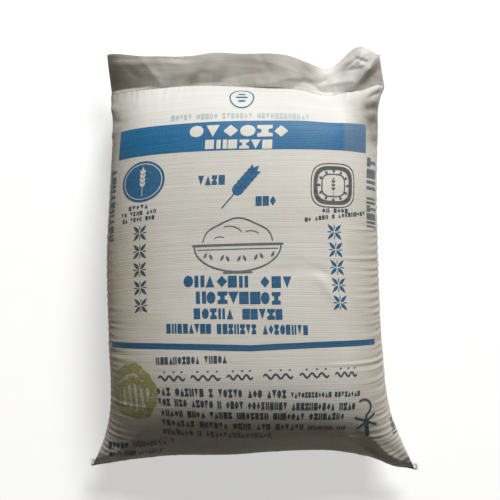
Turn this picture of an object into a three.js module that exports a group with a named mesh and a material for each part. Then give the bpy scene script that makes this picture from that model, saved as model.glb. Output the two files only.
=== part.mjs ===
// A 25 kg woven sack of flour, lying on its back with the printed face up.
//
// Millimetres. +Z is up, +Y points to the sewn mouth of the sack and +X to the reader's right.
// The origin is on the floor, under the middle of the sack's bounding box.
//
// The sack is a flat woven tube, sewn across both ends and filled with flour. It is made as rings
// round the tube. Each ring has a face half, a back half and the two side folds where they meet.
// The rings run from the loose hem under the foot, over the filled body, to the lip past the
// closing seam.
import * as THREE from "three";

// Driving dimensions.
const FLAT_WIDTH = 520; // the empty sack from fold to fold, as the two bottom corners still show
const THICKNESS = 184;
const LIP_REACH = 65; // the loose mouth beyond the closing seam
const HEM_HEIGHT = 14; // the folded and sewn strip below the foot seam
const CLOTH = 3; // both layers of cloth pressed together at a seam
const FLOOR_DEPTH = 22; // how far the round back would reach below the floor that flattens it
const FOLD_ROUNDNESS = 2.4; // 2 would be an ellipse, more is squarer

// Mesh resolution.
const HALF_RING_STEPS = 24;
const BODY_STEPS = 92;
const LIP_STEPS = 8;
const HEM_STEPS = 2;

const clamp01 = (v) => Math.min(Math.max(v, 0), 1);
const lerp = (a, b, w) => a + (b - a) * w;
const smooth = (a, b, v) => {
  const w = clamp01((v - a) / (b - a));
  return w * w * (3 - 2 * w);
};
const bump = (v, middle, spread) => Math.exp(-(((v - middle) / spread) ** 2));
const curve = (...points) =>
  new THREE.CatmullRomCurve3(points.map((p) => new THREE.Vector3(...p)), false, "centripetal");

// Four lines along the sack, each from the foot seam to the closing seam. The bottom corners
// stand out as ears at mid-height. The top corners are pulled in by the filling.
const LEFT_FOLD = curve(
  [-255, -327, 44],
  [-247, -311, 62],
  [-236, -285, 72],
  [-224, -232, 79],
  [-226, -120, 85],
  [-229, 0, 86],
  [-224, 110, 86],
  [-221, 200, 74],
  [-227, 262, 36],
);
const RIGHT_FOLD = curve(
  [257, -333, 50],
  [249, -317, 67],
  [232, -281, 79],
  [213, -231, 83],
  [200, -120, 86],
  [195, 0, 86],
  [193, 110, 86],
  [196, 200, 72],
  [198, 236, 57],
  [210, 268, 38],
);
const FACE_MIDDLE = curve(
  [-18, -284, 50],
  [-18, -297, 57],
  [-18, -303, 76],
  [-18, -293, 102],
  [-18, -270, 134],
  [-18, -235, 161],
  [-18, -187, THICKNESS - 6],
  [-18, -110, THICKNESS],
  [-18, 10, THICKNESS],
  [-18, 130, THICKNESS - 3],
  [-18, 206, 168],
  [-18, 246, 143],
  [-18, 266, 104],
);
const BACK_MIDDLE = curve(
  [-18, -284, 50 - CLOTH],
  [-18, -280, 28],
  [-18, -256, 4],
  [-18, -190, -0.8 * FLOOR_DEPTH],
  [-18, 0, -FLOOR_DEPTH],
  [-18, 160, -0.8 * FLOOR_DEPTH],
  [-18, 228, 8],
  [-18, 258, 56],
  [-18, 266, 104 - CLOTH],
);

const EAR_X = (RIGHT_FOLD.points[0].x - LEFT_FOLD.points[0].x) / 2;

// How far a ring has risen from its folds to its middle, at across from -1 to 1.
const riseAt = (across, roundness) =>
  Math.max(1 - Math.abs(across) ** roundness, 0) ** (1 / roundness);

// Places across a half ring that lie closer together towards the folds, where it is round.
const ACROSS = Array.from({ length: HALF_RING_STEPS + 1 }, (_, i) => {
  const a = (i / HALF_RING_STEPS - 0.5) * Math.PI;
  return Math.sign(a) * Math.abs(Math.sin(a)) ** 0.92;
});

// Where the foot end is fuller or flatter: its place across, its width and how far.
const FOOT_SWELLS = [
  [-0.87, 0.12, 4],
  [-0.6, 0.22, 4.5],
  [-0.15, 0.22, -3],
  [0.5, 0.18, 3],
  [0.9, 0.1, -26],
];

// One ring of the filled body at t, from 0 at the foot seam to 1 at the closing seam.
function bodyRing(t) {
  const [left, right] = [LEFT_FOLD, RIGHT_FOLD].map((fold) => fold.getPointAt(t));
  const foot = 1 - smooth(0, 0.2, t);
  const mouth = smooth(0.82, 1, t);
  const roundness = lerp(lerp(FOLD_ROUNDNESS, 1.4, foot), 2.1, mouth);
  const half = (line) => {
    const middle = line.getPointAt(t);
    return ACROSS.map((across) => {
      const fold = left.clone().lerp(right, (across + 1) / 2);
      // The crown lies a little to the right of the middle.
      const crown = across - 0.1 * (1 - foot) * (1 - across * across);
      const rise = riseAt(crown, roundness);
      // The foot end is a little askew, and fuller towards its two sides.
      const sides = FOOT_SWELLS.reduce((sum, [x, wide, far]) => sum + far * bump(across, x, wide), 0);
      const askew = foot * (13 * across - 26 * Math.abs(across) ** 3 + sides);
      const saddle = mouth * bump(fold.x, 116, 34);
      return new THREE.Vector3(
        fold.x,
        lerp(fold.y, middle.y + askew, rise ** lerp(1, 1.2, foot)) - 9 * saddle,
        lerp(fold.z, middle.z, rise) - 8 * saddle,
      );
    });
  };
  return [...half(FACE_MIDDLE), ...half(BACK_MIDDLE).reverse().slice(1, -1)];
}

// Continues a seam ring outwards: move(point, w) gives the place at w, from 0 to 1.
function looseRings(seamRing, steps, move) {
  return Array.from({ length: steps }, (_, k) =>
    seamRing.map((p) => move(p, (k + 1) / steps)),
  );
}

// Where the lip's edge stands out or falls back: its place across, its width and how far.
const LIP_EDGE = [
  [-158, 28, 4.5],
  [-66, 25, -2],
  [28, 52, 5.5],
  [100, 18, 6],
  [200, 16, -7],
];

// The lip past the closing seam climbs gently, with a waved edge. It is level beside its right
// corner, which stands up. The angles are in radians.
function lipPoint(p, w) {
  const saddle = bump(p.x, 108, 34);
  const corner = bump(p.x, 182, 30);
  const leftEnd = bump(p.x, -225, 60);
  const wave = 0.1 * Math.sin(p.x / 33) + 0.05 * Math.cos(p.x / 25);
  const turn = 0.7 + wave + 0.3 * saddle - 0.7 * corner - 0.3 * leftEnd;
  const edge = LIP_EDGE.reduce((sum, [x, wide, far]) => sum + far * bump(p.x, x, wide), 0);
  const reach = (LIP_REACH * Math.cos(turn) + edge) * w;
  const level = 0.24 * bump(p.x, 132, 34) + 0.07 * bump(p.x, 35, 40);
  const climb = 0.26 + 0.16 * bump(p.x, -200, 60) - level + 0.05 * Math.sin(p.x / 21);
  const spread = p.x < 0 ? -5 * (p.x / 225) ** 4 : -9 * (p.x / 210) ** 4;
  return new THREE.Vector3(
    p.x + spread * w,
    p.y + reach,
    p.z + Math.tan(climb) * reach + 12 * corner * w ** 3,
  );
}

// The hem shows as a small tab at the tip of each ear. Between them it turns in, under the foot.
function hemPoint(p, w) {
  const under = smooth(2, 22, EAR_X - Math.abs(p.x));
  return new THREE.Vector3(
    p.x * lerp(1 + w * (FLAT_WIDTH / 2 / EAR_X - 1), 1, under),
    p.y + HEM_HEIGHT * w * lerp(-0.95, 0.4, under),
    p.z + HEM_HEIGHT * w * lerp(-0.25, -0.9, under),
  );
}

// The floor flattens the back, with a small round where the cloth leaves it.
const FLOOR_ROUND = 8;
const onFloor = (z) =>
  Math.max(z, 0) + Math.max(1 - Math.abs(z) / FLOOR_ROUND, 0) ** 2 * (FLOOR_ROUND / 4);

function triangles(ringCount, ringSize) {
  const index = [];
  const id = (j, i) => j * ringSize + ((i + ringSize) % ringSize);
  for (let j = 0; j + 1 < ringCount; j++)
    for (let i = 0; i < ringSize; i++) {
      index.push(id(j, i), id(j, i + 1), id(j + 1, i + 1));
      index.push(id(j, i), id(j + 1, i + 1), id(j + 1, i));
    }
  const last = ringCount - 1;
  for (let i = 0; i < HALF_RING_STEPS; i++) {
    const across = [i, i + 1, -i - 1, -i];
    for (const [j, flip] of [[0, true], [last, false]]) {
      const [a, b, c, d] = across.map((k) => id(j, k));
      for (const face of [[a, b, c], [a, c, d]]) {
        if (new Set(face).size < 3) continue;
        index.push(...(flip ? face.reverse() : face));
      }
    }
  }
  return index;
}

function sackGeometry() {
  const body = Array.from({ length: BODY_STEPS + 1 }, (_, k) => bodyRing(k / BODY_STEPS));
  const hem = looseRings(body[0], HEM_STEPS, hemPoint).reverse();
  const lip = looseRings(body[BODY_STEPS], LIP_STEPS, lipPoint);
  const rings = [...hem, ...body, ...lip];
  const points = rings.flat();
  for (const p of points) p.z = onFloor(p.z);
  const geometry = new THREE.BufferGeometry().setFromPoints(points);
  geometry.setIndex(triangles(rings.length, rings[0].length));
  geometry.computeVertexNormals();
  return geometry;
}

const sack = new THREE.Mesh(
  sackGeometry(),
  new THREE.MeshStandardMaterial({ color: 0xe4e0d6, roughness: 0.62, metalness: 0 }),
);
sack.name = "sack";

const part = new THREE.Group();
part.add(sack);
const bounds = new THREE.Box3().setFromObject(part);
const middle = bounds.getCenter(new THREE.Vector3());
sack.position.set(-middle.x, -middle.y, -bounds.min.z);

export default part;
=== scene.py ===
import math

import bpy
import numpy as np
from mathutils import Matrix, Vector


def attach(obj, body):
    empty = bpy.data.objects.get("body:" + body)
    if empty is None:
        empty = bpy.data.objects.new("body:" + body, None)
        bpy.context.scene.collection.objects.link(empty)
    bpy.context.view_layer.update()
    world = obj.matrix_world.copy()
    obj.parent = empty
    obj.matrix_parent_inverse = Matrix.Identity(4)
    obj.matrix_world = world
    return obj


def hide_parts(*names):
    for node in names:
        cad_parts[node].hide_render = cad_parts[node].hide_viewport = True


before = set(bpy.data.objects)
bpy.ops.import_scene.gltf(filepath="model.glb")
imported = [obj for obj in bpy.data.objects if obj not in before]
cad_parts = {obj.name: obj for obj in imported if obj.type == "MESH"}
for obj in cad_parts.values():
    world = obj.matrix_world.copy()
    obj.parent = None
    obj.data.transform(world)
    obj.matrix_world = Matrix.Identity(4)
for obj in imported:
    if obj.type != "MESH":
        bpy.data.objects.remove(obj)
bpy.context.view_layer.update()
scene = bpy.context.scene

# The sack's lines, in millimetres, the same as those of its solid.
FLAT_WIDTH, THICKNESS, LIP_REACH, HEM_HEIGHT = 520.0, 184.0, 65.0, 14.0
CLOTH, FLOOR_DEPTH, FOLD_ROUNDNESS, FLOOR_ROUND = 3.0, 22.0, 2.4, 8.0
HALF = 265.0  # half of the cloth's width, as its own measure has it
FOOT, LONG = 30.0, 713.0  # where the foot seam and the closing seam lie along the cloth
TO_PART = np.array([-1.016, 8.067, 0.0])  # from the lines' origin to the part's origin


def lerp(a, b, w):
    return a + (b - a) * w


def smooth(a, b, v):
    w = np.clip((v - a) / (b - a), 0, 1)
    return w * w * (3 - 2 * w)


def bump(v, middle, spread):
    return np.exp(-(((v - middle) / spread) ** 2))


def spot(x, y, cx, cy, rx, ry, turn=0.0):
    """A soft oval spot, from 1 in its middle to 0."""
    c, s = math.cos(turn), math.sin(turn)
    a, b = (x - cx) * c + (y - cy) * s, (y - cy) * c - (x - cx) * s
    return np.exp(-((a / rx) ** 2) - (b / ry) ** 2)


def unit(vectors):
    return vectors / np.maximum(np.linalg.norm(vectors, axis=-1, keepdims=True), 1e-9)


def run_along(path):
    """The length run at each point of a path."""
    return np.concatenate([[0], np.cumsum(np.linalg.norm(np.diff(path, axis=0), axis=1))])


def read_at(places, run, points):
    """A path's points at other places of its run."""
    return np.stack([np.interp(places, run, column) for column in points.T], -1)


class Line:
    """A smooth line through points, read by the share of its length."""

    def __init__(self, *points):
        p = np.array(points, float)
        self.p = np.vstack([2 * p[0] - p[1], p, 2 * p[-1] - p[-2]])
        self.steps = np.linspace(0, 1, 201)
        run = run_along(self.raw(self.steps))
        self.share = run / run[-1]

    def raw(self, s):
        n = len(self.p) - 3
        x = np.clip(np.asarray(s, float), 0, 1) * n
        k = np.minimum(x.astype(int), n - 1)
        w = (x - k)[..., None]
        a, b, c, d = (self.p[k + i] for i in range(4))
        ta, tb, tc = (
            np.linalg.norm(q - p, axis=-1, keepdims=True) ** 0.5
            for p, q in ((a, b), (b, c), (c, d))
        )
        m1 = ((b - a) / ta - (c - a) / (ta + tb) + (c - b) / tb) * tb
        m2 = ((c - b) / tb - (d - b) / (tb + tc) + (d - c) / tc) * tb
        cubic = (-3 * b + 3 * c - 2 * m1 - m2) * w**2 + (2 * b - 2 * c + m1 + m2) * w**3
        return b + m1 * w + cubic

    def at(self, share):
        return self.raw(np.interp(share, self.share, self.steps))


LEFT_FOLD = Line(
    [-255, -327, 44], [-247, -311, 62], [-236, -285, 72], [-224, -232, 79], [-226, -120, 85],
    [-229, 0, 86], [-224, 110, 86], [-221, 200, 74], [-227, 262, 36],
)
RIGHT_FOLD = Line(
    [257, -333, 50], [249, -317, 67], [232, -281, 79], [213, -231, 83], [200, -120, 86],
    [195, 0, 86], [193, 110, 86], [196, 200, 72], [198, 236, 57], [210, 268, 38],
)
EAR_X = 256.0  # half of the way from the tip of one ear to the tip of the other
MIDDLE_X = -18


def centre_line(*points):
    """A line along the middle of the face or the back, from places along the sack and heights."""
    return Line(*((MIDDLE_X, y, z) for y, z in points))


FACE_MIDDLE = centre_line(
    (-284, 50), (-297, 57), (-303, 76), (-293, 102), (-270, 134), (-235, 161),
    (-187, THICKNESS - 6), (-110, THICKNESS), (10, THICKNESS), (130, THICKNESS - 3),
    (206, 168), (246, 143), (266, 104),
)
BACK_MIDDLE = centre_line(
    (-284, 50 - CLOTH), (-280, 28), (-256, 4), (-190, -0.8 * FLOOR_DEPTH), (0, -FLOOR_DEPTH),
    (160, -0.8 * FLOOR_DEPTH), (228, 8), (258, 56), (266, 104 - CLOTH),
)


def share(v):
    """How far the place v along the cloth lies from the foot seam to the closing seam."""
    return (v - FOOT) / (LONG - FOOT)


def on_floor(z):
    """The floor flattens the back, with a small round where the cloth leaves it."""
    return np.maximum(z, 0) + np.maximum(1 - np.abs(z) / FLOOR_ROUND, 0) ** 2 * (FLOOR_ROUND / 4)


# Where the foot end is fuller or flatter: its place across, its width and how far.
FOOT_SWELLS = ((-0.87, 0.12, 4), (-0.6, 0.22, 4.5), (-0.15, 0.22, -3), (0.5, 0.18, 3), (0.9, 0.1, -26))


def body(across, t, middle_line):
    """The filled body at across, from -1 to 1, and t, from the foot seam to the closing seam."""
    left, right, middle = LEFT_FOLD.at(t), RIGHT_FOLD.at(t), middle_line.at(t)
    foot, mouth = 1 - smooth(0, 0.2, t), smooth(0.82, 1, t)
    roundness = lerp(lerp(FOLD_ROUNDNESS, 1.4, foot), 2.1, mouth)
    crown = across - 0.10 * (1 - foot) * (1 - across**2)
    rise = np.maximum(1 - np.abs(crown) ** roundness, 0) ** (1 / roundness)
    fold = lerp(left, right, ((across + 1) / 2)[..., None])
    sides = sum(far * bump(across, x, wide) for x, wide, far in FOOT_SWELLS)
    askew = foot * (13 * across - 26 * np.abs(across) ** 3 + sides)
    saddle = mouth * bump(fold[..., 0], 116, 34)
    y = lerp(fold[..., 1], middle[..., 1] + askew, rise ** lerp(1, 1.2, foot)) - 9 * saddle
    z = lerp(fold[..., 2], middle[..., 2], rise) - 8 * saddle
    return np.stack([fold[..., 0], y, z], -1)


def thread_share(u, v):
    """Where the thread v of the cloth lies along the sack. The sides are pulled towards the foot."""
    t = share(v)
    side = np.abs(u / HALF) ** 2.6
    bow = smooth(0, 0.33, t) * (1 - smooth(0.42, 1.0, t) - 0.55 * (1 - t))
    skew = 0.010 * (u / HALF) * smooth(0, 0.3, t) * (1 - smooth(0.88, 1, t))
    return t - 0.047 * side * bow + skew


def half_sack(us, vs, middle_line):
    """One half of the tube as a grid of points, at us across the cloth and vs along it."""
    fine = np.sin(np.linspace(-np.pi / 2, np.pi / 2, 401))
    rows = []
    for v in vs:
        run = run_along(body(fine, np.full(fine.shape, share(v)), middle_line))
        across = np.interp((us / HALF + 1) / 2, run / run[-1], fine)
        rows.append(body(across, thread_share(us, v), middle_line))
    return np.array(rows)


def tube_normals(p):
    """Normals of a grid that is closed in its second direction and open in its first."""
    du = np.roll(p, -1, 1) - np.roll(p, 1, 1)
    return unit(np.cross(du, np.gradient(p, axis=0)))


def columns(count):
    """Places across the cloth, closer together towards the folds."""
    side = np.linspace(-1, 1, count + 1)
    return HALF * (1.25 * side - 0.25 * side**3)


# Cloth grid of the whole tube: the face's columns, then the back's from right to left.
FACE_COLS, BACK_COLS, ROWS = 250, 196, 392
FACE_U, BACK_U = columns(FACE_COLS), columns(BACK_COLS)
V = np.linspace(FOOT, LONG, ROWS + 1)
face = half_sack(FACE_U, V, FACE_MIDDLE)
back = half_sack(BACK_U, V, BACK_MIDDLE)
tube = np.concatenate([face, back[:, -2:0:-1]], 1)
tube_u = np.concatenate([FACE_U, BACK_U[-2:0:-1]])
ON_FACE = np.arange(len(tube_u)) <= FACE_COLS  # which columns are on the face
U2, V2 = np.meshgrid(tube_u, V)


def seam_bow(x):
    """How far the filling pushes the closing seam outwards, left of its middle and at its right end."""
    return 5.5 * bump(x, -85, 85) + 9.5 * smooth(166, 200, x)


# Creases and dents of the cloth, in millimetres along its normal.
rng = np.random.default_rng(25)
relief = np.zeros_like(U2)


def pucker(towards, start, length, height, width, lean):
    """A short ridge that starts at a side fold and runs inwards over the face and over the back."""
    d = HALF - towards * U2  # run of cloth from that fold
    path = start - lean * d * np.exp(-d / 70) - 0.06 * d
    x = (V2 - path) / width
    shape = np.exp(-(x**2)) - 0.42 * np.exp(-(((np.abs(x) - 2.0) / 1.1) ** 2))
    reach = np.where(ON_FACE, length, 0.8 * length)
    return height * shape * np.exp(-((d / reach) ** 2.4))


def mound(u, v, ru, rv, height, turn=0.0):
    """A soft round rise of the face, or a dent if height is negative."""
    return height * spot(U2, V2, u, v, ru, rv, turn) * ON_FACE


for towards, pitch, strength in ((1, 10.5, 1.0), (-1, 12.5, 0.62)):
    start = FOOT + 14.0
    while start < 640:
        low = 1 - smooth(330, 600, start)
        amount = strength * (0.45 + 0.55 * low) * rng.uniform(0.5, 1.15)
        amount *= 0.42 + 0.58 * smooth(110, 210, start)  # flatter on the empty ears
        length = rng.uniform(26, 62) * (0.7 + 0.5 * low) * (1 if towards > 0 else 0.75)
        if rng.random() < 0.22:
            length *= 1.7
        relief += pucker(
            towards, start, length, 1.35 * amount, rng.uniform(2.2, 3.3), rng.uniform(0.28, 0.5)
        )
        start += pitch * rng.uniform(0.72, 1.3) * (1 + 0.35 * (1 - low))

# Gathers along the closing seam and the foot seam, which hold the flat width in a narrower line.
for seam, deep, slant, narrow, heights, pitch in (
    (LONG, (16, 46), 0.25, (2.6, 4.6), (0.25, 0.75), (8, 19)),
    (FOOT, (18, 44), 0.3, (3.0, 5.5), (0.3, 1.0), (9, 17)),
):
    away = np.abs(V2 - seam)
    start = -HALF
    while start < HALF:
        near = away / rng.uniform(*deep)
        lean = (U2 - start - rng.uniform(-slant, slant) * away) / rng.uniform(*narrow)
        rise = rng.uniform(*heights)
        if seam == LONG:
            rise *= 1 + 0.9 * (start > 170) + 0.3 * (start < -190)
        relief += rise * np.exp(-(lean**2) - near**2)
        start += rng.uniform(*pitch)

# The flour settles unevenly.
for _ in range(46):
    relief += mound(
        rng.uniform(-240, 240), rng.uniform(60, 690), rng.uniform(22, 70), rng.uniform(16, 46),
        rng.uniform(-0.8, 0.8), rng.uniform(-0.5, 0.5),
    )
# A dent right of the middle, the right shoulder crumpled where it narrows to the mouth, the left
# one a little, and the tension folds that run from the two ears up into the body.
for place in (
    (114, 397, 17, 9, -2.0, -0.35), (128, 372, 42, 9, 1.4, -0.95), (70, 398, 24, 12, -0.7, 0.2),
    (226, 701, 16, 7, 2.6, 0.3), (226, 688, 18, 5, -3.0, 0.3), (222, 674, 17, 7, 2.8, 0.2),
    (226, 661, 20, 6, -3.2, 0.2), (222, 646, 17, 8, 2.6, 0.1), (226, 631, 18, 7, -2.8, 0.1),
    (222, 614, 16, 8, 2.0, 0.0), (228, 597, 17, 8, -2.0, 0.0), (212, 655, 9, 40, -1.8, 0.0),
    (-246, 676, 22, 8, 2.2, -0.4), (-236, 650, 18, 6, -1.4, -0.3), (-250, 632, 20, 7, 1.3, 0.0),
    (232, 82, 46, 7, 1.9, 2.2), (206, 94, 44, 9, -1.5, 2.25), (182, 96, 46, 9, 1.2, 2.2),
    (-232, 82, 46, 7, 1.8, 0.94), (-208, 92, 44, 9, -1.4, 0.9), (-186, 90, 42, 9, 1.2, 0.94),
):
    relief += mound(*place)

relief *= smooth(FOOT, FOOT + 10, V2) * (1 - smooth(LONG - 4, LONG, V2))
tube = tube + tube_normals(tube) * relief[..., None]
tube[..., 1] += seam_bow(tube[..., 0]) * smooth(LONG - 70, LONG, V2)
tube[..., 2] = on_floor(tube[..., 2])
tube_n = tube_normals(tube)
FACE, FACE_N = tube[:, : FACE_COLS + 1], tube_n[:, : FACE_COLS + 1]
order = [0] + list(range(tube.shape[1] - 1, FACE_COLS - 1, -1))
BACK, BACK_N = tube[:, order], tube_n[:, order]


def to_metres(points):
    return (np.asarray(points, float).reshape(-1, 3) + TO_PART) / 1000.0


pieces = []


def put(name, data):
    made = bpy.data.objects.new(name, data)
    scene.collection.objects.link(made)
    return made


def add_piece(name, material, points, faces, uv=None, tone=None, normals=None, flat=False):
    """A piece of the sack, from points in millimetres and faces of three or more corners."""
    mesh = bpy.data.meshes.new(name)
    faces = faces.tolist() if isinstance(faces, np.ndarray) else faces
    mesh.from_pydata(to_metres(points).tolist(), [], faces)
    for polygon in mesh.polygons:
        polygon.use_smooth = not flat
    if uv is not None:
        corners = np.empty(len(mesh.loops), int)
        mesh.loops.foreach_get("vertex_index", corners)
        layer = mesh.uv_layers.new(name="cloth")
        place = np.asarray(uv, float).reshape(-1, 2)[corners] / 1000.0
        layer.data.foreach_set("uv", place.ravel())
    if tone is not None:
        attribute = mesh.attributes.new("tone", "FLOAT", "POINT")
        attribute.data.foreach_set("value", np.asarray(tone, np.float32).ravel())
    if normals is not None:
        mesh.normals_split_custom_set_from_vertices(normals.reshape(-1, 3).tolist())
    mesh.materials.append(material)
    pieces.append(put(name, mesh))


def grid_quads(rows, cols, flip=False):
    a = np.arange(rows - 1)[:, None] * cols + np.arange(cols - 1)[None, :]
    quads = np.stack([a, a + 1, a + cols + 1, a + cols], -1).reshape(-1, 4)
    return quads[:, ::-1] if flip else quads


BACK_SHIFT = 0.6  # sets the weave of a layer at the back off from that of the front


def add_layer(name, material, points, u, v, tone, normals=None, back=False):
    """A layer of cloth as a grid of points, with its weave at u across the cloth and v along it."""
    uv = np.stack([u + BACK_SHIFT * back, v], -1)
    add_piece(name, material, points, grid_quads(*u.shape, back), uv, tone, normals)


# Materials.
class Maths:
    """Short names for the nodes of one material."""

    def __init__(self, tree):
        self.tree = tree

    def feed(self, made, inputs):
        """Feeds sockets, by name or number, from other nodes' outputs or with plain values."""
        for key, value in inputs.items():
            if isinstance(value, bpy.types.NodeSocket):
                self.tree.links.new(value, made.inputs[key])
            else:
                made.inputs[key].default_value = value

    def node(self, kind, inputs=None, **settings):
        made = self.tree.nodes.new(kind)
        for key, value in settings.items():
            setattr(made, key, value)
        self.feed(made, inputs or {})
        return made

    def op(self, operation, *values):
        inputs = dict(enumerate(values))
        return self.node("ShaderNodeMath", inputs, operation=operation).outputs[0]

    def times(self, a, b):
        return self.op("MULTIPLY", a, b)

    def plus(self, a, b):
        return self.op("ADD", a, b)

    def ramp(self, value, low, high, to_low=0.0, to_high=1.0):
        inputs = {0: value, 1: low, 2: high, 3: to_low, 4: to_high}
        return self.node("ShaderNodeMapRange", inputs, clamp=True).outputs["Result"]

    def blend(self, factor, a, b, mode="MIX"):
        inputs = {0: factor, 6: a, 7: b}
        return self.node("ShaderNodeMix", inputs, data_type="RGBA", blend_type=mode).outputs[2]

    def tint(self, colour, by, *masks):
        """The colour times another one, where every mask is 1."""
        factor = masks[0]
        for mask in masks[1:]:
            factor = self.times(factor, mask)
        return self.blend(factor, colour, (*by, 1), "MULTIPLY")

    def noise(self, vector, scale, detail, roughness):
        inputs = {"Vector": vector, "Scale": scale, "Detail": detail, "Roughness": roughness}
        return self.node("ShaderNodeTexNoise", inputs).outputs["Fac"]

    def stretch(self, vector, *by):
        inputs = {0: vector, 1: by}
        return self.node("ShaderNodeVectorMath", inputs, operation="MULTIPLY").outputs[0]

    def split(self, vector):
        return self.node("ShaderNodeSeparateXYZ", {0: vector}).outputs

    def attribute(self, name):
        return self.node("ShaderNodeAttribute", attribute_name=name).outputs["Fac"]

    def bump(self, principled, height, strength, distance):
        inputs = {"Height": height, "Strength": strength, "Distance": distance}
        self.feed(principled, {"Normal": self.node("ShaderNodeBump", inputs).outputs[0]})


def shader(name):
    material = bpy.data.materials.new(name)
    material.use_nodes = True
    return material, Maths(material.node_tree), material.node_tree.nodes["Principled BSDF"]


TAPE = 0.0026  # width of one woven tape


def weave(m):
    """The plain weave of flat tapes: its height, and a slight change of tone from tape to tape."""
    uv = m.node("ShaderNodeUVMap", uv_map="cloth").outputs[0]
    split = m.split(uv)
    a, b = (m.op("DIVIDE", split[k], TAPE) for k in (0, 1))
    ia, ib = (m.op("FLOOR", x) for x in (a, b))
    over = m.op("MODULO", m.op("ABSOLUTE", m.plus(ia, ib)), 2.0)
    # How far a place lies from the middle of its tape, from 0 to 1 at the tape's edge.
    off_a, off_b = (
        m.op("ABSOLUTE", m.op("MULTIPLY_ADD", m.op("FRACT", x), 2.0, -1.0)) for x in (a, b)
    )

    def hump(off, power):
        return m.op("SUBTRACT", 1.0, m.op("POWER", off, power))

    # A tape is round across its width and dives under at its ends.
    round_a = m.op("POWER", hump(off_a, 4.0), 0.35)
    warp = m.times(round_a, m.op("MULTIPLY_ADD", hump(off_b, 2.5), 0.6, 0.4))
    weft = m.times(hump(off_b, 4.0), m.op("MULTIPLY_ADD", hump(off_a, 2.5), 0.6, 0.4))
    height = m.plus(m.times(warp, over), m.times(weft, m.op("SUBTRACT", 1.0, over)))
    tones = []
    for index in (ia, ib):
        white = m.node("ShaderNodeTexWhiteNoise", noise_dimensions="1D")
        m.feed(white, {"W": index})
        tones.append(white.outputs["Value"])
    streak = m.noise(m.stretch(uv, 6.0, 260.0, 1.0), 1.0, 3.0, 0.6)
    return uv, height, tones, streak


def cloth_colour(m, uv, height, tones, streak, clean, worn):
    """Off-white tape with streaks along the weft, faint soiling and painted shade in the gaps between
    the tapes.
    """
    soil = m.ramp(m.noise(uv, 9.0, 4.0, 0.62), 0.42, 0.72)
    spots = m.ramp(m.noise(uv, 62.0, 3.0, 0.6), 0.62, 0.8)
    colour = m.blend(m.op("MULTIPLY_ADD", soil, 0.34, m.times(spots, 0.12)), clean, worn)
    tape = m.op("MULTIPLY_ADD", tones[1], 0.055, m.times(tones[0], 0.008))
    tape = m.plus(tape, m.times(streak, 0.11))
    # Painted shade: the low places of the weave, between the tapes, are drawn darker.
    light = m.times(m.plus(0.865, tape), m.ramp(height, 0.0, 0.45, 0.88, 1.0))
    inputs = {0: colour, "Scale": light}
    colour = m.node("ShaderNodeVectorMath", inputs, operation="SCALE").outputs[0]
    # Painted light and shade: the shoulder, which faces the light, is tinted lighter and cooler, and
    # both sides and the foot, which turn away from it, are tinted darker and browner.
    across, along, _ = m.split(uv)
    shoulder = m.times(m.ramp(along, 0.56, 0.69), m.ramp(along, 0.715, 0.713))
    colour = m.tint(colour, (0.99, 1.025, 1.075), shoulder)
    # Painted shade low on the left and right sides of the face.
    low = m.times(m.ramp(along, 0.60, 0.42), m.ramp(along, 0.11, 0.17))
    colour = m.tint(colour, (0.92, 0.865, 0.78), m.ramp(across, -0.12, -0.205), low)
    colour = m.tint(colour, (0.83, 0.79, 0.75), m.ramp(across, 0.15, 0.205), low)
    # Painted shade across the middle of the foot.
    inside = m.ramp(m.op("ABSOLUTE", across), 0.17, 0.12)
    colour = m.tint(colour, (0.62, 0.60, 0.55), m.ramp(along, 0.128, 0.102), inside)
    # Both corners of the shoulder are darkened, partly grime from handling and partly painted shade of
    # their crumples.
    grime_and_shade_mottle = m.op("MULTIPLY_ADD", m.noise(uv, 70.0, 3.0, 0.6), 0.9, 0.5)
    high = m.times(m.ramp(along, 0.575, 0.625), grime_and_shade_mottle)
    right = m.times(m.ramp(across, 0.158, 0.214), m.ramp(along, 0.718, 0.665))
    colour = m.tint(colour, (0.32, 0.285, 0.245), right, high)
    left = m.times(m.ramp(across, -0.165, -0.228), m.ramp(along, 0.714, 0.712))
    return m.tint(colour, (0.62, 0.60, 0.555), left, high)


def relief_bump(m, principled, uv, height, streak, strength):
    """Fine relief that is too small for the mesh: the weave, weft ribs and a slight creasing."""
    ribs = m.noise(m.stretch(uv, 10.0, 300.0, 1.0), 1.0, 2.0, 0.55)
    rough = m.noise(uv, 140.0, 4.0, 0.6)
    total = m.plus(m.times(height, 0.45), m.times(ribs, 0.9))
    m.bump(principled, m.plus(total, m.times(rough, 0.35)), strength, 0.0006)


def cloth_material(name, clean, worn, shade_tint, see_through=0.0, strength=0.55):
    material, m, principled = shader(name)
    uv, height, tones, streak = weave(m)
    colour = cloth_colour(m, uv, height, tones, streak, clean, worn)
    # Painted shade: the tone attribute darkens the colour towards the shade tint.
    colour = m.blend(m.attribute("tone"), colour, shade_tint, "MULTIPLY")
    m.feed(principled, {
        "Base Color": colour, "Roughness": m.ramp(streak, 0.2, 0.8, 0.49, 0.63),
        "Specular IOR Level": 0.35, "Sheen Weight": 0.15, "Sheen Roughness": 0.4,
    })
    relief_bump(m, principled, uv, height, streak, strength)
    if see_through:
        # Light from behind shows through cloth that has no flour behind it.
        through = m.node("ShaderNodeBsdfTranslucent", {"Color": colour}).outputs[0]
        inputs = {"Fac": see_through, 1: principled.outputs[0], 2: through}
        mix = m.node("ShaderNodeMixShader", inputs).outputs[0]
        m.feed(m.tree.nodes["Material Output"], {"Surface": mix})
    return material


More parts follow.
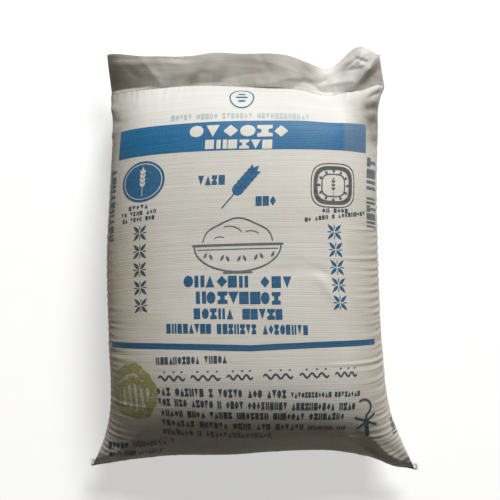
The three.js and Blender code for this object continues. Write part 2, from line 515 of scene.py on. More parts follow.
def ink_material(name, ink, thin, coverage=0.9, mottle=0.5):
    """Ink on the tapes: it misses the gaps of the weave and wears to the cloth's own colour."""
    material, m, principled = shader(name)
    uv, height, tones, streak = weave(m)
    bare = (0.74, 0.73, 0.69, 1)
    patchy = m.noise(uv, 210.0, 5.0, 0.68)
    wear = m.plus(m.times(patchy, 0.62), m.times(m.noise(uv, 24.0, 3.0, 0.6), 0.38))
    fade = m.attribute("tone")
    edge = m.op("SUBTRACT", coverage, m.times(fade, 0.12))
    missing = m.ramp(m.op("SUBTRACT", wear, m.times(edge, 0.74)), -0.06, 0.10)
    missing = m.op("MAXIMUM", m.times(missing, mottle), m.ramp(height, 0.30, 0.02, 0.0, 0.45))
    colour = m.blend(m.ramp(m.plus(patchy, m.times(tones[1], 0.25)), 0.35, 0.85), ink, thin)
    colour = m.blend(m.times(fade, 0.6), colour, (0.20, 0.235, 0.27, 1))
    colour = m.blend(missing, colour, bare)
    m.feed(principled, {"Base Color": colour, "Roughness": 0.5, "Specular IOR Level": 0.35})
    relief_bump(m, principled, uv, height, streak, 0.5)
    return material


CLEAN, WORN = (0.80, 0.775, 0.715, 1), (0.66, 0.615, 0.53, 1)
# The tint that painted shade reaches where the tone attribute is 1.
SHADE_TINT = (0.62, 0.57, 0.46, 1)
FILLED = cloth_material("woven_cloth", CLEAN, WORN, SHADE_TINT)
# The loose cloth is drawn with a lighter clean colour than the filled cloth, as painted light, and with
# a darker shade tint for its painted shade.
LOOSE = cloth_material(
    "loose_cloth", (0.88, 0.865, 0.825, 1), (0.70, 0.66, 0.59, 1), (0.42, 0.38, 0.31, 1),
    see_through=0.12, strength=0.32,
)
PLAIN = cloth_material("bare_cloth", CLEAN, WORN, SHADE_TINT)


def thread_material():
    material, m, principled = shader("sewing_thread")
    place = m.node("ShaderNodeTexCoord").outputs["Object"]
    twist = m.noise(m.stretch(place, 900.0, 900.0, 900.0), 1.0, 2.0, 0.5)
    colour = m.blend(twist, (0.60, 0.57, 0.50, 1), (0.76, 0.73, 0.67, 1))
    m.feed(principled, {"Base Color": colour, "Roughness": 0.75})
    m.bump(principled, twist, 0.5, 0.0002)
    return material


THREAD = thread_material()


# The filled cloth. Its tone darkens the empty ears, where no flour lies behind the cloth, and adds
# painted shade under the closing seam, over the foot and along the side folds.
def ear_and_painted_shade_tone(u, v):
    ear = smooth(46, 6, v) * smooth(150, 262, np.abs(u))
    seam = 0.55 * smooth(LONG - 6, LONG, v)
    seam = seam + 0.95 * smooth(FOOT + 52, FOOT + 8, v) * (1 - smooth(120, 185, np.abs(u)))
    fold = 0.10 * smooth(HALF - 40, HALF, np.abs(u))
    return np.clip(0.75 * ear + seam + fold, 0, 1)


UF, VF = np.meshgrid(FACE_U, V)
UB, VB = np.meshgrid(BACK_U, V)
add_layer("sack_face", FILLED, FACE, UF, VF, ear_and_painted_shade_tone(UF, VF), FACE_N)
add_layer("sack_back", FILLED, BACK, UB, VB, ear_and_painted_shade_tone(UB, VB), BACK_N, True)

# The loose lip past the closing seam: two layers of empty cloth.
LIP_ROWS = 44
LIP_CLOTH = 54.0  # how far the weave and the gathers count the lip to run
# Where the lip's edge stands out or falls back: its place across, its width and how far.
LIP_EDGE = (
    (-205, 25, -2.5), (-148, 28, 6.5), (-88, 26, -4.5), (22, 48, 5.5), (100, 18, 6), (200, 16, -7),
)
LEFT_CREASE = (-171, 309, -140, 269)  # from and to, in plan
# The other folds of the lip: from and to, height, fall to the left and to the right, and how
# sharp they are.
LIP_CREASES = (
    # Soft pockets along the middle.
    (-118, 288, -66, 296, 1.8, 16, 9), (-86, 270, -30, 284, -2.4, 10, 9),
    (-48, 303, 14, 296, 1.8, 9, 16), (-24, 286, 22, 290, -1.8, 10, 8),
    (10, 309, 50, 298, 1.6, 6, 10), (12, 268, 34, 275, 2.6, 18, 9),
    (34, 275, 60, 282, 2.6, 17, 8), (60, 282, 88, 283, 1.9, 15, 8),
    # The shoulder pushes on past the seam in a small dome, under an arched crease.
    (60, 264, 72, 277, -1.7, 2.5, 9), (72, 277, 91, 277, -1.7, 2.5, 11),
    (91, 277, 108, 262, -2.0, 4, 9), (108, 262, 162, 259, -2.6, 8, 4),
    (100, 274, 112, 280, -1.8, 3, 3),
    # The right corner is folded over into a dog-ear.
    (157, 270, 181, 297, 7.0, 19, 6, 0.08), (181, 297, 192, 315, 7.0, 13, 6, 0.08),
    (133, 283, 148, 300, -2.0, 9, 11), (150, 304, 161, 313, -2.2, 3, 2.5),
    (161, 313, 174, 309, -2.0, 3, 2.5), (148, 296, 164, 298, -1.6, 3, 4),
    (114, 290, 146, 309, 3.2, 8, 13), (146, 309, 174, 320, 3.4, 7, 13),
    (128, 276, 150, 278, 4.4, 14, 5), (173, 278, 198, 300, -6.0, 9, 9),
    (168, 266, 200, 272, 2.5, 5, 6),
)
DOG_EAR_CRUMPLES = ((156, 303), (163, 309), (169, 303), (176, 312), (168, 314))
# Painted shade and painted light on the loose cloth: how much darker, or lighter where negative, place,
# radii and turn.
LIP_PAINTED_SHADES = (
    (0.42, -160, 309, 22, 7), (0.20, -128, 276, 12, 9), (-0.22, -92, 300, 48, 12),
    (0.42, -94, 278, 10, 8, 0.9), (0.22, -84, 292, 20, 5, 0.75), (0.30, -56, 278, 14, 7, 0.9),
    (0.16, -44, 300, 8, 12, -0.5), (0.28, -22, 308, 30, 7), (-0.20, -30, 291, 22, 10),
    (0.10, 0, 284, 30, 7, 0.1), (0.24, 18, 304, 26, 10), (-0.14, 43, 307, 9, 5),
    (0.34, 82, 297, 13, 10, -0.7), (-0.20, 30, 270, 30, 8, 0.2), (-0.30, 82, 268, 24, 13),
    (0.12, 142, 266, 22, 5), (0.36, 143, 294, 6, 10, -0.5),
)


def right_of(x, y, x0, y0, x1, y1):
    """How far a place in plan lies to the right of the line from x0, y0 to x1, y1."""
    return ((x - x0) * (y1 - y0) - (y - y0) * (x1 - x0)) / math.hypot(x1 - x0, y1 - y0)


def crease(x, y, x0, y0, x1, y1, height, left, right, sharp=0.25):
    """A ridge, or a valley, along a line in plan, with its own fall to each side of the line."""
    long = math.hypot(x1 - x0, y1 - y0)
    dx, dy = (x1 - x0) / long, (y1 - y0) / long
    along = (x - x0) * dx + (y - y0) * dy
    across = (y - y0) * dx - (x - x0) * dy
    beyond = np.maximum(np.maximum(-along, along - long), 0)
    r = np.hypot(np.where(across > 0, across / left, across / right), 1.3 * beyond / (left + right))
    return height * np.exp(sharp - np.sqrt(r * r + sharp * sharp))


def lip(seam, w):
    """The lip above the seam points, at w from 0 to 1, from how steeply it climbs at each place."""
    x = seam[..., 0]
    saddle, corner, left_end = bump(x, 108, 34), bump(x, 182, 30), bump(x, -225, 60)
    wave = 0.1 * np.sin(x / 33) + 0.05 * np.cos(x / 25)
    angle = 0.7 + wave + 0.3 * saddle - 0.7 * corner - 0.3 * left_end
    spread = np.where(x < 0, -5 * (x / 225) ** 4, -9 * (x / 210) ** 4)
    px = x + spread * w
    edge = sum(far * bump(x, middle, wide) for middle, wide, far in LIP_EDGE)
    reach = (LIP_REACH * np.cos(angle) + edge - seam_bow(x)) * w
    climb = 15 + 5.5 * bump(x, -200, 60) - 4 * bump(x, 35, 40) - 24 * bump(x, 130, 38)
    climb = np.radians(climb + 3 * np.sin(x / 21))
    steep = climb[None, :] + np.radians(7 + 5 * left_end) * (0.55 - w)
    step = np.diff(np.broadcast_to(reach, px.shape), axis=0, prepend=0)
    rise = np.cumsum(np.tan(steep) * step, axis=0)
    return px, seam[..., 1] + reach, seam[..., 2] + rise + 14 * corner * (w - 0.75 * w * w)


seam_front = FACE[-1]
LW = np.linspace(0, 1, LIP_ROWS + 1)[:, None]
front_x, front_y, front_z = lip(seam_front, LW)


def lip_relief(x, y, w):
    """Heights of the lip's folds, in plan."""
    # The left end falls away beyond a slanting fold, and flattens along its edge.
    h = -0.16 * np.maximum(right_of(x, y, *LEFT_CREASE), 0) ** 1.02 * (x < -60)
    h += crease(x, y, *LEFT_CREASE, 1.6, 9, 14) - 3.2 * smooth(0.74, 1.0, w) * smooth(-60, -130, x)
    h += 2.2 * smooth(0.0, 0.32, w) * bump(x, -70, 48)
    for fold in LIP_CREASES:
        h += crease(x, y, *fold)
    for place in DOG_EAR_CRUMPLES:
        h += 1.7 * spot(x, y, *place, 4.0, 2.4, 0.7)
    return h


gathers = np.zeros_like(front_x)
start = -225.0
while start < 205:
    tall, wide = rng.uniform(0.10, 0.42), rng.uniform(1.8, 3.4)
    lean = rng.uniform(-0.35, 0.35)
    x = (front_x - start - lean * LIP_CLOTH * LW) / wide
    gathers += rng.uniform(0.3, 1.0) * np.exp(-(x**2) - (LW / tall) ** 2)
    start += rng.uniform(7, 15)
for _ in range(34):
    cx, cw = rng.uniform(-215, 195), rng.uniform(0.2, 1.0)
    turn = rng.uniform(-1.2, 1.2)
    gathers += rng.uniform(-0.8, 0.8) * spot(
        front_x, (LW - cw) * LIP_CLOTH, cx, 0, rng.uniform(10, 26), rng.uniform(4, 9), turn
    )
lift = lip_relief(front_x, front_y, LW) * smooth(0.0, 0.10, LW)
front_z = front_z + lift + gathers * smooth(0.0, 0.06, LW)
# The cut edge is slightly ragged.
ragged = np.cumsum(rng.normal(0, 0.35, front_x.shape[1]))
ragged -= np.linspace(ragged[0], ragged[-1], len(ragged))
ragged = np.clip(ragged, -1.6, 1.6) + rng.normal(0, 0.25, len(ragged))
front_y = front_y + ragged[None, :] * LW**6
# The two layers gape a little towards the edge.
gape = 0.5 + 1.4 * LW + 4.5 * bump(front_x, 150, 45) * LW**2 + 2.0 * bump(front_x, -60, 70) * LW**3
back_y = front_y + (1.6 + 1.2 * np.sin(front_x / 19)) * LW**5 - ragged[None, :] * 0.7 * LW**6
back_z = front_z - gape - 1.2
front = np.stack([front_x, front_y, front_z], -1)
rear = np.stack([front_x, back_y, back_z], -1)
front[0] = seam_front
rear[0] = seam_front
rear[0, :, 2] -= np.interp(front_x[0], (-225, -190, 180, 210), (0, 2.2, 2.2, 0))


def grid_normals(p):
    return unit(np.cross(np.gradient(p, axis=1), np.gradient(p, axis=0)))


def lip_painted_shade(x, y, w):
    """Painted shade on the loose cloth: how much darker it is, most over its left end and right of the
    dog-ear's fold, in spots along its folds, and lighter in a few spots as painted light.
    """
    left = 1 - smooth(-6, 6, right_of(x, y, -138, 266, -171, 311))
    tone = 0.30 + 0.10 * left * (1 - 0.8 * smooth(0.6, 0.95, w)) - 0.3 * smooth(88, 116, x)
    for amount, *place in LIP_PAINTED_SHADES:
        tone += amount * spot(x, y, *place)
    corner = smooth(-2.5, 2.5, right_of(x, y, 160, 268, 195, 311))
    return np.clip(tone + 0.58 * corner * (1 - 0.6 * smooth(0.16, 0.0, w)), 0, 1)


LIP_U = np.broadcast_to(FACE_U, front_x.shape)
LIP_V = LONG + LIP_CLOTH * np.broadcast_to(LW, front_x.shape)
tone = lip_painted_shade(front_x, front_y, LW)
add_layer("lip_front", LOOSE, front, LIP_U, LIP_V, tone)
# The back layer gets more painted shade than the front.
add_layer("lip_back", LOOSE, rear, LIP_U, LIP_V, np.clip(tone + 0.15, 0, 1), back=True)


# Print. Every shape is laid out in millimetres on the flat cloth and carried onto the sack.
class Print:
    """Shapes of one ink, made of strips of small faces so that they follow the cloth."""

    def __init__(self, name, material, lift):
        self.name, self.material, self.lift = name, material, lift
        self.uv, self.quads, self.tone, self.count = [], [], [], 0

    def sheet(self, u, v, tone=0.0):
        u, v = np.broadcast_arrays(u, v)
        rows, cols = u.shape
        turn = ((u[:-1, 1:] - u[:-1, :-1]) * (v[1:, :-1] - v[:-1, :-1])
                - (u[1:, :-1] - u[:-1, :-1]) * (v[:-1, 1:] - v[:-1, :-1]))
        self.uv.append(np.stack([u, v], -1).reshape(-1, 2))
        self.quads.append(grid_quads(rows, cols, turn.sum() < 0) + self.count)
        self.tone.append(np.broadcast_to(tone, u.shape).ravel())
        self.count += rows * cols

    def bar(self, u0, v0, u1, v1, tilt=0.0, tone=None, step=2.4):
        cols = max(2, int(abs(u1 - u0) / step) + 1)
        rows = max(2, int(abs(v1 - v0) / step) + 1)
        u, v = np.meshgrid(np.linspace(u0, u1, cols), np.linspace(v0, v1, rows))
        self.sheet(u, v + tilt * (u - u0), 0.0 if tone is None else tone(u, v))

    def ribbon(self, points, width, step=2.4):
        """A line of even width with round ends, or of a width that varies along it."""
        p = np.array(points, float)
        run = run_along(p)
        n = max(3, int(run[-1] / step) + 1)
        s = np.linspace(0, run[-1], n)
        q = read_at(s, run, p)
        d = unit(np.gradient(q, axis=0))
        side = np.stack([-d[:, 1], d[:, 0]], -1)
        if callable(width):
            half = width(s / run[-1])
        else:
            tip = np.minimum(s, run[-1] - s) / (width / 2.0)
            half = width / 2.0 * np.sqrt(np.clip(1 - (1 - np.minimum(tip, 1)) ** 2, 0.12, 1))
        k = np.linspace(-1, 1, max(2, int(np.max(half) * 2 / step) + 2))[:, None]
        u = q[None, :, 0] + side[None, :, 0] * half * k
        v = q[None, :, 1] + side[None, :, 1] * half * k
        self.sheet(u[::-1], v[::-1])

    def ring(self, u, v, outer_u, outer_v, inner=0.0, wobble=0.0, steps=72, corners=2.0):
        """A disc or a ring. corners above 2 squares it off."""
        a = np.linspace(0, 2 * np.pi, steps + 1)
        c, s = np.cos(a), np.sin(a)
        r = (np.abs(c) ** corners + np.abs(s) ** corners) ** (-1 / corners)
        waves = np.sin(5 * a + 1) * 0.5 + np.sin(11 * a) * 0.3 + np.sin(17 * a + 2) * 0.2
        r = r * (1 + wobble * waves)
        cells = max(2, int((1 - inner) * max(outer_u, outer_v) / 2.4) + 2)
        k = np.linspace(1, max(inner, 0.002), cells)[:, None]
        self.sheet(u + outer_u * r * c * k, v + outer_v * r * s * k)

    def leaf(self, u, v, length, width, angle, step=2.2):
        """A pointed grain or leaf that starts at u, v and points along angle."""
        end = (u + length * math.cos(angle), v + length * math.sin(angle))
        swell = lambda s: width / 2 * np.sin(np.pi * np.clip(s, 0.02, 0.98) ** 0.8) ** 0.9
        self.ribbon([(u, v), end], swell, step)

    def ear_of_wheat(self, u, v, size, angle, grains=5, stem=0.9):
        """A stem with pairs of grains and one at the tip, of the given size from the first grain up."""
        c, s = math.cos(angle), math.sin(angle)
        foot = (u - stem * size * c, v - stem * size * s)
        self.ribbon([foot, (u + 0.9 * size * c, v + 0.9 * size * s)], 0.045 * size)
        for k in range(grains):
            at = k / grains
            cu, cv = u + at * size * c, v + at * size * s
            for turn in (0.62, -0.62):
                self.leaf(cu, cv, 0.34 * size, 0.17 * size, angle + turn)
        self.leaf(u + 0.86 * size * c, v + 0.86 * size * s, 0.36 * size, 0.17 * size, angle)

    def build(self):
        uv = np.concatenate(self.uv)
        points, normals = on_cloth(uv[:, 0], uv[:, 1])
        add_piece(
            self.name, self.material, points + normals * self.lift, np.concatenate(self.quads),
            uv, np.concatenate(self.tone), normals,
        )


def on_cloth(u, v):
    """The place and the normal of the creased face at u, v, read between the grid's points."""
    i = np.clip(np.searchsorted(FACE_U, u, side="right") - 1, 0, FACE_COLS - 1)
    x = np.clip(share(v) * ROWS, 0, ROWS - 1e-6)
    j = x.astype(int)
    a = ((u - FACE_U[i]) / (FACE_U[i + 1] - FACE_U[i]))[:, None]
    b = (x - j)[:, None]

    def read(g):
        low = g[j, i] * (1 - a) + g[j, i + 1] * a
        high = g[j + 1, i] * (1 - a) + g[j + 1, i + 1] * a
        return low * (1 - b) + high * b

    return read(FACE), unit(read(FACE_N))


def ink(name, lift, *look):
    return Print("print_" + name, ink_material(name + "_ink", *look), lift)


# Each ink: how far it lies over the cloth, its colour, where it is thin, coverage and mottling.
band = ink("band", 0.30, (0.006, 0.115, 0.27, 1), (0.016, 0.17, 0.36, 1), 0.97, 0.42)
blue = ink("blue", 0.32, (0.018, 0.115, 0.25, 1), (0.04, 0.17, 0.32, 1))
deep = ink("deep_blue", 0.34, (0.018, 0.095, 0.205, 1), (0.04, 0.15, 0.28, 1), 0.95, 0.35)
slate = ink("slate", 0.34, (0.040, 0.072, 0.10, 1), (0.085, 0.125, 0.155, 1), 0.94, 0.35)
faint = ink("faint", 0.34, (0.075, 0.10, 0.11, 1), (0.18, 0.22, 0.24, 1), 0.92, 0.4)
pale = ink("pale", 0.34, (0.37, 0.44, 0.475, 1), (0.52, 0.57, 0.58, 1), 0.9, 0.45)
grey = ink("grey", 0.33, (0.055, 0.065, 0.062, 1), (0.15, 0.16, 0.15, 1), 0.93, 0.4)
olive = ink("olive", 0.31, (0.33, 0.295, 0.085, 1), (0.42, 0.385, 0.17, 1), 0.74, 0.75)
bare = Print("print_bare", PLAIN, 0.52)

# The outlines of the shapes: how wide each is at a place from its foot, 0, to its top, 1.
SHAPES = (
    lambda x: 1.0,  # block, twice as often as the others
    lambda x: 1.0,
    lambda x: 1 - np.abs(2 * x - 1),  # lozenge
    lambda x: 1 - x,  # triangle
    lambda x: x,
    lambda x: np.sqrt(np.clip(1 - (2 * x - 1) ** 2, 0, 1)),  # disc
    lambda x: np.where(np.abs(x - 0.5) < 0.14, 0.45, 1.0),  # waisted block
)


def small_print(layer, u0, u1, v, height, lengths, tilt=0.0, wide=0.78, space=0.9):
    """A line of plain small shapes, grouped as words of the given numbers of shapes."""
    pitch = (u1 - u0) / (sum(lengths) + space * (len(lengths) - 1))
    at, last = u0, -1
    for n in lengths:
        for _ in range(n):
            kind = rng.integers(0, len(SHAPES) + 1)
            kind = (kind + 1) % (len(SHAPES) + 1) if kind == last else kind
            last = kind
            w, base = pitch * wide * rng.uniform(0.9, 1.1), v + tilt * (at - u0)
            x = np.linspace(0, 1, max(5, int(height / 1.6) + 1))[:, None]
            if kind == len(SHAPES):  # two uprights
                for side in (-0.3, 0.3):
                    k = np.linspace(-0.2, 0.2, 2)[None, :]
                    layer.sheet(at + w / 2 + (side + k) * w, base + (x - 0.5) * height)
            else:
                k = np.linspace(-0.5, 0.5, max(2, int(w / 2.2) + 1))[None, :]
                layer.sheet(at + w / 2 + k * w * SHAPES[kind](x), base + (x - 0.5) * height)
            at += pitch
        at += space * pitch


# Shoulder: a ring and a small line.
RING_U = -8
blue.ring(RING_U, 671, 20.5, 22.5, 0.89)
for v, half in ((679, 6.5), (671, 10), (663, 6.5)):
    blue.ribbon([(RING_U - half, v), (RING_U + half, v)], 3.6)
small_print(pale, -124, 101, 638, 9.5, (5, 5, 7, 12), -0.027, 0.8)

# Upper band, worn at its right end, with two rows left bare in it.
fading = lambda u, v: 0.12 * smooth(60, 120, u) * smooth(160, 130, u) + 0.75 * smooth(153, 160, u)
band.bar(-217, 582, 199, 627.5, -0.007, fading)
small_print(bare, -92, 69, 612, 18.5, (6,), -0.027, 0.86)
small_print(bare, -66, 42, 590.5, 14, (6,), -0.027, 0.84)

# Left mark: a disc with a bare ear of wheat. Right mark: a squared frame with a sprig.
LEFT_MARK, RIGHT_MARK = np.array([-166, 542]), np.array([140, 526])
blue.ring(*LEFT_MARK, 38, 31)
bare.ring(*LEFT_MARK, 34, 27.5, 0.955)
bare.ear_of_wheat(*LEFT_MARK - (0, 8), 25, math.pi / 2, 4, 0.6)
for k, wide in enumerate((36, 64, 58)):
    shapes = (2, 4, 3) if k else (5,)
    small_print(slate, -171 - wide / 2, -171 + wide / 2, 503 - 9.2 * k, 6.2, shapes, 0.03)
for outer_u, outer_v, inner in ((37, 33.5, 0.955), (32.5, 29, 0.80), (20, 17.5, 0.90)):
    grey.ring(*RIGHT_MARK, outer_u, outer_v, inner, corners=3.4)
grey.ear_of_wheat(*RIGHT_MARK - (0, 7), 16, math.pi / 2, 3, 0.6)
for turn in range(12):
    a = turn * math.pi / 6
    grey.leaf(*RIGHT_MARK + (21 * math.cos(a), 18.6 * math.sin(a)), 6.4, 4.8, a)
small_print(slate, 122, 166, 488, 6.2, (2, 4), 0.02)
small_print(slate, 94, 199, 474, 6.2, (2, 4, 1, 9), 0.13)

# Middle: a large ear of wheat between two short words, over a bowl with a heap of flour.
blue.ear_of_wheat(-17, 514, 46, 0.84, 6, 0.62)
small_print(deep, -74, -31, 536, 14.5, (4,), 0.0, 0.84)
small_print(deep, 17, 50, 502.5, 14.5, (3,), 0.0, 0.84)
BOWL_U = -10
arc = np.linspace(math.pi, 2 * math.pi, 40)
faint.ribbon([(BOWL_U + 67 * math.cos(a), 437 + 39 * math.sin(a)) for a in arc], 2.4)
for half, v, width in ((71, 438, 3.6), (63, 431.5, 1.5), (23, 396.5, 3.2)):
    faint.ribbon([(BOWL_U - half, v), (BOWL_U + half, v)], width)
arc = np.linspace(0.06, math.pi - 0.06, 50)
top = [440 + 36 * math.sin(a) * (1 + 0.06 * math.sin(5 * a)) for a in arc]
faint.ribbon([(BOWL_U + 54 * math.cos(a), v) for a, v in zip(arc, top)], 2.2)
folds = ((-24, 447, 24, 0.5, 1.9), (10, 445, 17, 0.7, 2.1), (-38, 441, 12, 0.9, 2.4))
for u, v, reach, a0, a1 in folds:
    arc = np.linspace(a0, a1, 16)
    faint.ribbon([(u + reach * math.cos(a), v + reach * 0.8 * math.sin(a)) for a in arc], 1.5)
for k in range(9):
    lean = 0.5 if k % 2 else -0.5
    faint.leaf(-62 + 13 * k, 419 - 6 * math.sin(math.pi * k / 8), 10, 4.2, math.pi / 2 + lean)

# Headings under the bowl.
for line in (
    (-94, 76, 385.5, 17.5, (6, 3), -0.034, 0.86), (-75, 58, 360.5, 18.5, (8,), -0.033, 0.88),
    (-79, 59, 336.5, 16, (5, 5), -0.032, 0.86), (-123, 97, 315.5, 14.5, (8, 7, 8), -0.033, 0.82),
):
    small_print(deep, *line)

# Lower stripe.
deep.bar(-231, 288.5, 6, 297.5, -0.043, step=2.2)
deep.bar(6, 278.3, 214, 287.3, 0.030, step=2.2)

# Two columns of five small rosettes.
for k in range(5):
    pair = ((slate, -167 + 0.5 * k, 464 - 27.8 * k), (deep, 141.5 + 1.7 * k, 456.5 - 26.6 * k))
    for layer, u, v in pair:
        for petal in range(4):
            a = math.pi / 4 + petal * math.pi / 2
            layer.leaf(u + 1.5 * math.cos(a), v + 1.5 * math.sin(a), 14, 5.2, a)
        for side in (-1, 1):
            layer.ribbon([(u + 11.5 * side, v), (u + 4.5 * side, v)], 1.8)
            layer.ribbon([(u, v + 4.5 * side), (u, v + 11 * side)], 1.8)

# The lines of small print at the foot.
for line in (
    (-142, -30, 266, 11.5, (10, 5), 0.008, 0.84), (-145, 60, 218, 13, (3, 6, 1, 5, 3, 4), -0.032, 0.84),
    (66, 178, 209.5, 8.5, (12, 8), -0.014, 0.84),
    (-145, 171, 200, 12.5, (3, 3, 5, 1, 4, 9, 10, 4), -0.042, 0.82),
    (-143, 154, 180, 12, (5, 4, 5, 7, 7, 8), -0.033, 0.82),
    (-145, 88, 160.5, 12.5, (7, 6, 4, 3, 6), -0.043, 0.82), (94, 157, 149, 9, (11, 4), -0.043, 0.84),
    (-147, 35, 140.5, 12.5, (7, 1, 15), -0.047, 0.8), (-250, -131, 96, 14, (5, 8, 1), 0.18, 0.82),
    (-246, -155, 73, 12, (4, 4, 8), 0.17, 0.82),
):
    small_print(slate, *line)

# A flowing band of waves and lozenges.
for a, b in ((-140, -97), (-88, -42), (-32, 8), (24, 70), (80, 126), (136, 172)):
    s = np.linspace(a, b, 30)
    wave = 239 + 0.003 * (s + 140) + 3.6 * np.sin((s - a) / (b - a) * 6 * math.pi)
    slate.ribbon(np.stack([s, wave], -1), 3.0, step=2.0)
    for k in (0.2, 0.55, 0.85):
        at = a + k * (b - a)
        slate.leaf(at, 248 + 0.003 * (at + 140), 4.0, 3.2, 0.2, step=1.6)

# Olive roundel with upright stalks in it.
ROUNDEL_U, ROUNDEL_V = -188, 214
olive.ring(ROUNDEL_U, ROUNDEL_V, 43.5, 48, 0.68, 0.06, 90)
for du, low, high in ((-22, -17, 16), (-11, -26, 22), (0, -30, 28), (11, -28, 26), (22, -20, 20)):
    u, top = ROUNDEL_U + du, ROUNDEL_V + high
    olive.ribbon([(u, ROUNDEL_V + low), (u, top)], 5.6)
    for angle in (1.15, math.pi - 1.15):
        olive.leaf(u, top - 13, 15, 8, angle)

# Handling sign: a hook, crossed out.
hook = np.array([
    (176, 193.5), (182, 197), (190.5, 196), (197, 190), (199, 182), (196.5, 174.5),
    (190.5, 168.5), (191.5, 157),
])
hook = read_at(np.linspace(0, len(hook) - 1, 36), np.arange(len(hook)), hook)
for _ in range(3):
    hook[1:-1] = (hook[:-2] + 2 * hook[1:-1] + hook[2:]) / 4
slate.ribbon(hook, 4.2)
slate.ribbon([(192, 158), (197, 125)], 7.4)
slate.ribbon([(170.3, 166.2), (212.6, 148.4)], 4.0)
slate.ribbon([(175.4, 141.4), (207, 171)], 4.0)


# Side lettering, seen edge on, as plain shapes that read up the side.
def side_print(layer, u0, u1, v0, v1, count):
    pitch = (v1 - v0) / count
    for k in range(count):
        low, high = v0 + pitch * (k + 0.1), v0 + pitch * (k + 0.9)
        third = (high - low) / 3
        bars = (
            ((u0, low, u1, low + third), (u0, high - third, u1, high)),
            ((u0, low, u1, high),),
            ((u0, low, u0 + 0.35 * (u1 - u0), high), (u0, low + third, u1, high - third)),
        )[k % 3]
        for corners in bars:
            layer.bar(*corners)


side_print(faint, 203, 231, 523, 575, 3)
side_print(faint, 203, 231, 466, 514, 4)
side_print(slate, -237, -221, 457, 571, 9)
side_print(faint, 246, 260, 120, 154, 3)

for layer in (band, blue, deep, slate, faint, pale, grey, olive, bare):
    layer.build()


# Sewing. Short raised stitches close the mouth and hold the folded hem of the foot.
def stitches(name, path, normals, pitch, length, radius, lift):
    """Short thread stitches along a path, each a thin closed body that dives into the cloth."""
    run = run_along(path)
    points, faces, count = [], [], 0
    rings = around = 7
    arch = np.sin(np.linspace(0, np.pi, rings))
    r = radius * (0.35 + 0.65 * arch**0.5)
    angles = np.linspace(0, 2 * np.pi, around, endpoint=False)
    at = pitch / 2
    while at + length / 2 < run[-1]:
        s = np.linspace(at - length / 2, at + length / 2, rings)
        q, n = read_at(s, run, path), unit(read_at(s, run, normals))
        b = np.cross(unit(np.gradient(q, axis=0)), n)
        centre = q + n * (lift * (arch * 1.2 - 0.35))[:, None]
        ring = np.cos(angles)[None, :, None] * n[:, None] + np.sin(angles)[None, :, None] * b[:, None]
        points += [(centre[:, None] + r[:, None, None] * ring).reshape(-1, 3), centre[[0, -1]]]
        first, last = count + rings * around, count + rings * around + 1
        for low in range(count, first - around, around):
            for i in range(around):
                k = (i + 1) % around
                faces.append([low + i, low + around + i, low + around + k, low + k])
        for i in range(around):
            k = (i + 1) % around
            faces.append([first, count + i, count + k])
            faces.append([last, first - around + k, first - around + i])
        count = last + 1
        at += pitch
    add_piece(name, THREAD, np.concatenate(points), faces)


seam_row, seam_n = front[1, 6:-6], grid_normals(front)[1, 6:-6]
stitches("mouth_stitches", seam_row, seam_n, 7.4, 5.2, 0.34, 0.25)


# The hem under the foot: a folded strip of three layers, with frayed ends at the two ears.
def hem(p, w):
    under = smooth(2, 22, EAR_X - np.abs(p[..., 0]))
    x = p[..., 0] * lerp(1 + w * (FLAT_WIDTH / 2 / EAR_X - 1), 1, under)
    y = p[..., 1] + HEM_HEIGHT * w * lerp(-0.1, 0.4, under)
    z = p[..., 2] + HEM_HEIGHT * w * lerp(-0.25, -0.9, under)
    return np.stack([x, y, z], -1)


line = (FACE[0] + read_at(FACE_U, BACK_U, BACK[0])) / 2
axis = grid_normals(np.stack([hem(line, w) for w in (0.0, 0.5, 1.0)]))[1]
THICK = 1.5
puff = 0.35 * np.sin(FACE_U / 4.2) + rng.normal(0, 0.12, len(FACE_U))
# Round the folded strip: how far out, how far to its upper or lower side, and the cloth's run.
HEM_LOOP = (
    (0.0, 0.6, 0), (0.15, 1.0, -2), (0.5, 1.15, -7), (0.85, 1.0, -12), (1.0, 0.45, -14),
    (1.0, -0.45, -15), (0.85, -1.0, -17), (0.5, -1.15, -22), (0.15, -1.0, -27), (0.0, -0.6, -29),
)
profile = np.array([
    hem(line, w * (1 + 0.02 * puff)) + axis * (side * (THICK + 0.25 * puff * w))[:, None]
    for w, side, _ in HEM_LOOP
])
profile[..., 2] = np.maximum(profile[..., 2], 0.15)
loops, cols = profile.shape[:2]
index = np.arange(loops * cols).reshape(loops, cols)
after = np.roll(index, -1, 0)
faces = np.stack([index[:, :-1], after[:, :-1], after[:, 1:], index[:, 1:]], -1).reshape(-1, 4)
ends = [index[::-1, 0].tolist(), index[:, -1].tolist()]
hem_uv = np.stack(np.broadcast_arrays(FACE_U, np.array(HEM_LOOP)[:, 2:]), -1)
# Painted shade: the hem is drawn a little darker than the clean cloth.
hem_tone = np.full((loops, cols), 0.12)
add_piece("foot_hem", FILLED, profile, faces.tolist() + ends, hem_uv, hem_tone)
middle_of_hem = hem(line, 0.5) + axis * (THICK * 1.1)
stitches("hem_stitches", middle_of_hem[8:-8], axis[8:-8], 9.0, 6.2, 0.7, 0.7)


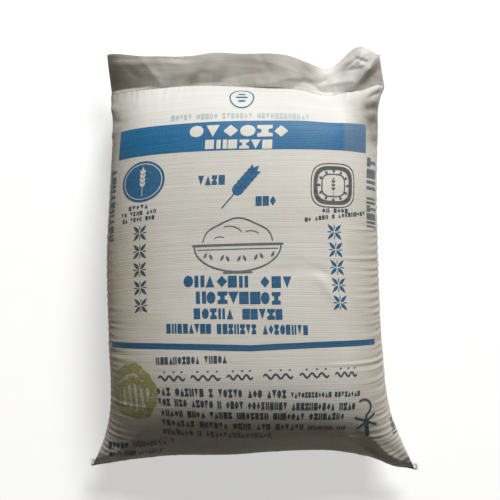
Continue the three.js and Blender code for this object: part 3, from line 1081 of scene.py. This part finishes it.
# Loose tapes where the cloth is cut: along the lip's edge and at the ears.
def loose_tapes(name, roots, directions, up, lengths, width):
    points, faces, count = [], [], 0
    steps, thin = 5, 0.18
    for root, d, long in zip(roots, directions, lengths):
        d = d / np.linalg.norm(d)
        across = unit(np.cross(d, up))
        bend = rng.uniform(-0.35, 0.35)
        for k in range(steps + 1):
            s = k / steps
            mid = root + d * long * s + across * bend * long * s * s + up * 0.25 * long * s * s
            edge = across * (width / 2 * (1 - 0.55 * s))
            points += [mid - edge, mid + edge, mid + edge - up * thin, mid - edge - up * thin]
        for a in range(count, count + 4 * steps, 4):
            for i in range(4):
                j = (i + 1) % 4
                faces.append([a + i, a + j, a + 4 + j, a + 4 + i])
        end = count + 4 * steps
        faces += [[count + 3, count + 2, count + 1, count], [end, end + 1, end + 2, end + 3]]
        count = end + 4
    add_piece(name, THREAD, points, faces, flat=True)


FRAYED = 62
picks = rng.choice(np.arange(4, FACE_COLS - 3), FRAYED, replace=False)
ways = [rng.normal(0, 0.5, FRAYED), np.ones(FRAYED), rng.normal(0.2, 0.3, FRAYED)]
loose_tapes(
    "frayed_lip", front[-1, picks] - np.array([0, 1.2, 0.4]), np.stack(ways, -1),
    np.array([0, -0.35, 0.94]), rng.uniform(1.6, 4.2, FRAYED), 0.9,
)
roots, ways, lengths = [], [], []
for sign in (-1, 1):
    tip = profile[3, 0 if sign < 0 else -1]
    for _ in range(13):
        inwards = -sign * (1.0 + 0.6 * rng.uniform(0, 9))
        roots.append(tip + np.array([inwards, rng.uniform(-1.5, 9), rng.uniform(-0.5, 1.6)]))
        away = sign * rng.uniform(0.3, 1.0)
        ways.append(np.array([away, rng.uniform(-0.7, 0.35), rng.uniform(-0.05, 0.25)]))
        lengths.append(rng.uniform(3.0, 7.0))
roots = np.array(roots)
roots[:, 2] = np.maximum(roots[:, 2], 1.2)
loose_tapes("frayed_ears", roots, ways, np.array([0, 0, 1.0]), lengths, 1.3)

for piece in pieces:
    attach(piece, "root")
    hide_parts("sack")

# The pale floor.
bpy.ops.mesh.primitive_plane_add(size=9.0, location=(0, 0, 0))
floor = bpy.context.object
floor.name = "floor"
material, m, principled = shader("floor_paper")
place = m.node("ShaderNodeTexCoord").outputs["Object"]
paper = m.blend(m.noise(place, 30.0, 3.0, 0.5), (0.60, 0.60, 0.597, 1), (0.62, 0.62, 0.617, 1))
m.feed(principled, {
    "Base Color": paper, "Emission Color": paper, "Emission Strength": 0.92, "Roughness": 0.9,
})
floor.data.materials.append(material)
# The sack was photographed away from bright ground, so the floor throws no light back on it.
floor.visible_diffuse = False

# One large soft light. Azimuth 0 shines from the mouth end, and 90 from the reader's right.
LIGHT_AZIMUTH, LIGHT_ELEVATION = math.radians(17), math.radians(37)
LIGHT_DISTANCE, LIGHT_WIDTH, LIGHT_STRENGTH = 7.0, 2.9, 3.76
level = math.cos(LIGHT_ELEVATION)
way = np.array([
    math.sin(LIGHT_AZIMUTH) * level, math.cos(LIGHT_AZIMUTH) * level, math.sin(LIGHT_ELEVATION)
])
light_data = bpy.data.lights.new("key", "AREA")
light_data.shape, light_data.size = "DISK", LIGHT_WIDTH
light_data.color = (1.0, 1.0, 0.995)
light_data.energy = LIGHT_STRENGTH * math.pi * LIGHT_DISTANCE**2
light = put("key", light_data)
light.rotation_euler = Vector(way).to_track_quat("Z", "Y").to_euler()
light.location = way * LIGHT_DISTANCE

# Dim, warm surroundings.
world = bpy.data.worlds.new("studio")
scene.world = world
world.use_nodes = True
background = world.node_tree.nodes["Background"]
background.inputs["Color"].default_value = (1.0, 0.83, 0.54, 1)
background.inputs["Strength"].default_value = 0.046

# The camera looks straight down, from this place in metres.
CAMERA_PLACE = (-0.0060, 0.0231, 2.28)
CAMERA_LENS, SENSOR_WIDTH = 100.76, 36.0
camera_data = bpy.data.cameras.new("camera")
camera_data.lens, camera_data.sensor_width = CAMERA_LENS, SENSOR_WIDTH
camera = put("camera", camera_data)
camera.location = CAMERA_PLACE
scene.camera = camera
scene.view_settings.view_transform = "Standard"
